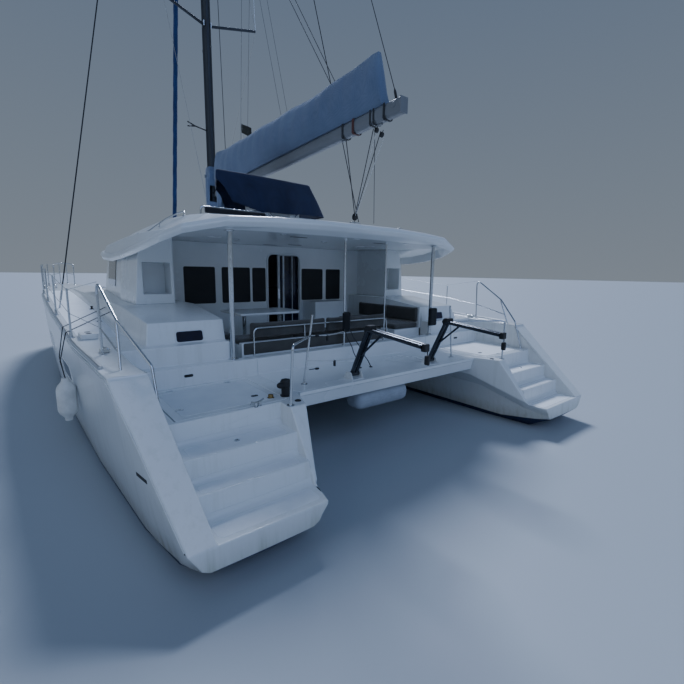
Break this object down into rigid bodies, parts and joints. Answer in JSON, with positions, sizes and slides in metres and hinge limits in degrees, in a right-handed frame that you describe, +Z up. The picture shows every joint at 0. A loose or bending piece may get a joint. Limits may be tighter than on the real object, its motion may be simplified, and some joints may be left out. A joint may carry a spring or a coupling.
{
  "type": "sailing catamaran",
  "caption": "Cruising sailing catamaran afloat: twin hulls with stepped sterns, saloon under a hardtop and flybridge, mast, boom with sail bag, davits, rudders and propellers.",
  "frame": {"origin": "on the waterline, on the centreline amidships", "axes": "+X to starboard, +Y to the bow, +Z up"},
  "size_m": [7.8282, 13.96, 23],
  "materials": {
    "gelcoat": "moulded white gelcoat, polished",
    "antifouling": "flat dark blue antifouling paint",
    "steel": "polished stainless steel",
    "alloy": "clear anodised aluminium",
    "bronze": "cast bronze, dulled",
    "canvas": "dark blue acrylic canvas",
    "bag": "faded light blue acrylic canvas",
    "fabric": "grey woven upholstery",
    "valise": "off-white coated fabric",
    "glass": "dark tinted acrylic",
    "fender": "white vinyl",
    "net": "white polyester net",
    "engine": "grey enamel"
  },
  "bodies": {
    "root": {"hull_port": "gelcoat", "engine_port": "engine", "keel_port": "antifouling", "drive_leg_port": "alloy", "side_glass_port": "glass", "aft_glass_port": "glass", "hardtop_post_port": "steel", "shroud_port": "steel", "side_rail_port": "steel", "pulpit_port": "steel", "quarter_rail_port": "steel", "stern_rail_port": "steel", "hull_starboard": "gelcoat", "engine_starboard": "engine", "keel_starboard": "antifouling", "drive_leg_starboard": "alloy", "side_glass_starboard": "glass", "aft_glass_starboard": "glass", "hardtop_post_starboard": "steel", "shroud_starboard": "steel", "side_rail_starboard": "steel", "pulpit_starboard": "steel", "quarter_rail_starboard": "steel", "stern_rail_starboard": "steel", "bridge_deck": "gelcoat", "saloon_shell": "gelcoat", "front_glass": "glass", "hardtop": "gelcoat", "hardtop_post_middle": "steel", "hardtop_post_inner": "steel", "cockpit_table": "gelcoat", "bench_port": "fabric", "bench_aft": "fabric", "seat_starboard": "fabric", "galley_cabinet": "gelcoat", "flybridge_coaming": "gelcoat", "helm_console": "gelcoat", "helm_cover": "canvas", "flybridge_back": "steel", "mast": "alloy", "forestay_sail": "canvas", "crossbeam": "alloy", "trampoline": "net", "valise": "valise", "fender": "fender"},
    "boom": {"boom": "alloy", "sail_bag": "bag"},
    "saloon_door": {"saloon_door": "alloy"},
    "helm_wheel": {"helm_wheel": "steel"},
    "rudder_port": {"rudder_port": "antifouling"},
    "propeller_port": {"propeller_port": "bronze"},
    "engine_hatch_port": {"engine_hatch_port": "gelcoat"},
    "davit_port": {"davit_port": "alloy"},
    "rudder_starboard": {"rudder_starboard": "antifouling"},
    "propeller_starboard": {"propeller_starboard": "bronze"},
    "engine_hatch_starboard": {"engine_hatch_starboard": "gelcoat"},
    "davit_starboard": {"davit_starboard": "alloy"}
  },
  "joints": [
    {"name": "boom_swing", "type": "hinge", "parent": "root", "child": "boom", "pos_m": [0, 0.89, 4.44], "axis": [0, 0, 1], "range_deg": [-50, 50]},
    {"name": "door_slide", "type": "slide", "parent": "root", "child": "saloon_door", "axis": [1, 0, 0], "range_m": [-0.3, 0.4]},
    {"name": "helm_turn", "type": "hinge", "parent": "root", "child": "helm_wheel", "pos_m": [-0.1, -2.685, 3.74], "axis": [0, 1, 0], "range_deg": [-420, 420]},
    {"name": "rudder_port_turn", "type": "hinge", "parent": "root", "child": "rudder_port", "pos_m": [-2.95, -6.05, -0.4], "axis": [0, 0, 1], "range_deg": [-35, 35]},
    {"name": "propeller_port_spin", "type": "hinge", "parent": "root", "child": "propeller_port", "pos_m": [-2.95, -5.415, -0.86], "axis": [0, 1, 0], "continuous": true},
    {"name": "hatch_port_lift", "type": "hinge", "parent": "root", "child": "engine_hatch_port", "pos_m": [-2.73, -4.888, 1.1], "axis": [-1, 0, 0], "range_deg": [0, 75]},
    {"name": "davit_port_lift", "type": "hinge", "parent": "root", "child": "davit_port", "pos_m": [-0.785, -5.69, 1.16], "axis": [-1, 0, 0], "range_deg": [0, 60]},
    {"name": "rudder_starboard_turn", "type": "hinge", "parent": "root", "child": "rudder_starboard", "pos_m": [2.95, -6.05, -0.4], "axis": [0, 0, 1], "range_deg": [-35, 35]},
    {"name": "propeller_starboard_spin", "type": "hinge", "parent": "root", "child": "propeller_starboard", "pos_m": [2.95, -5.415, -0.86], "axis": [0, 1, 0], "continuous": true},
    {"name": "hatch_starboard_lift", "type": "hinge", "parent": "root", "child": "engine_hatch_starboard", "pos_m": [2.73, -4.888, 1.1], "axis": [-1, 0, 0], "range_deg": [0, 75]},
    {"name": "davit_starboard_lift", "type": "hinge", "parent": "root", "child": "davit_starboard", "pos_m": [0.785, -5.69, 1.16], "axis": [-1, 0, 0], "range_deg": [0, 60]}
  ],
  "couplings": [
    {"joint": "rudder_starboard_turn", "follows": "rudder_port_turn", "ratio": 1},
    {"joint": "helm_turn", "follows": "rudder_port_turn", "ratio": 12}
  ]
}
